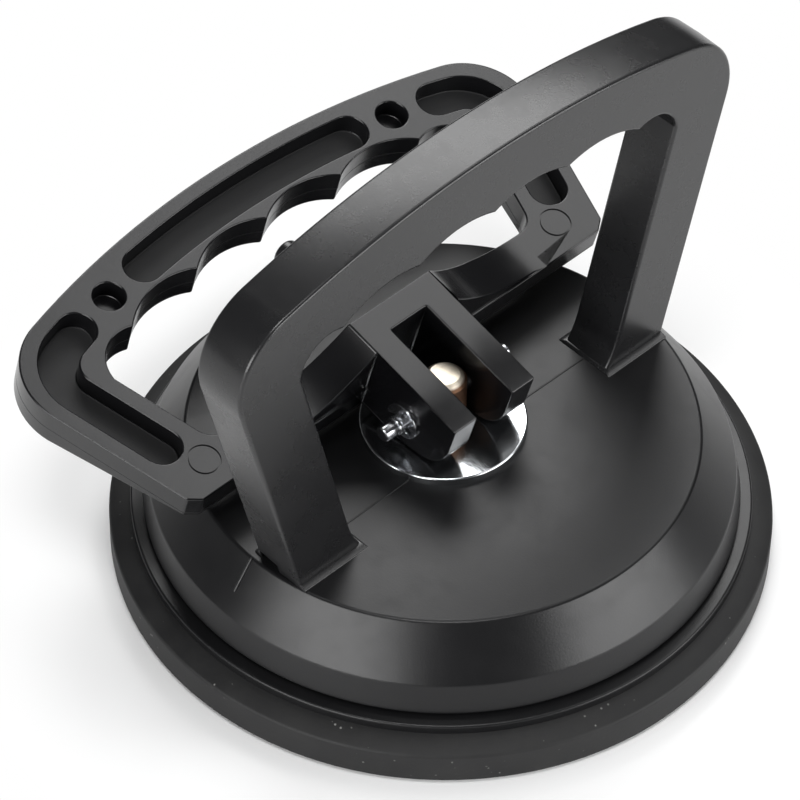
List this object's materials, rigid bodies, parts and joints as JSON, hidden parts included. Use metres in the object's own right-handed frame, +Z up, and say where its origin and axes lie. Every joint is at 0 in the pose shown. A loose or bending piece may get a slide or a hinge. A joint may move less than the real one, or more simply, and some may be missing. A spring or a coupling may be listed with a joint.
{
  "type": "floor tile suction lifter",
  "caption": "Hand suction lifter: a round rubber pad under a domed moulded housing with a fixed arched handle and a cam lever that draws up the pad's centre to grip smooth tiles.",
  "frame": {"origin": "centre of the pad's sealing face", "axes": "+Z up out of the pad, +Y along the arched handle, -X towards the lever's grip when it lies released"},
  "size_m": [0.1212, 0.12, 0.1009],
  "materials": {
    "pad_rubber": "matt moulded rubber",
    "housing_plastic": "satin black moulding",
    "lever_plastic": "glossy black moulding",
    "washer_chrome": "polished plating",
    "bright_steel": "bright zinc plating",
    "stud_steel": "yellow-brown plating, worn bright on top",
    "plated_steel": "zinc plating",
    "spring_steel": "oiled spring wire"
  },
  "bodies": {
    "cup": {"suction_pad": "pad_rubber", "housing": "housing_plastic", "wear_washer": "washer_chrome", "return_spring": "spring_steel"},
    "stem": {"draw_stud": "stud_steel", "backing_plate": "plated_steel", "lock_nut": "plated_steel"},
    "lever_arm": {"lever": "lever_plastic", "pivot_pin": "bright_steel", "e_clip_near": "bright_steel", "e_clip_far": "bright_steel"}
  },
  "joints": [
    {"name": "stem_slide", "type": "slide", "parent": "cup", "child": "stem", "axis": [0, 0, 1], "range_m": [0, 0.0044], "stiffness_N_per_m": 1900, "springref_m": -0.003, "deforming": ["return_spring"]},
    {"name": "lever_hinge", "type": "hinge", "parent": "stem", "child": "lever_arm", "pos_m": [0, 0, 0.0348], "axis": [0, 1, 0], "range_deg": [0, 75.6]}
  ],
  "couplings": [
    {"joint": "lever_hinge", "follows": "stem_slide", "rad_per_m": 299.85}
  ]
}
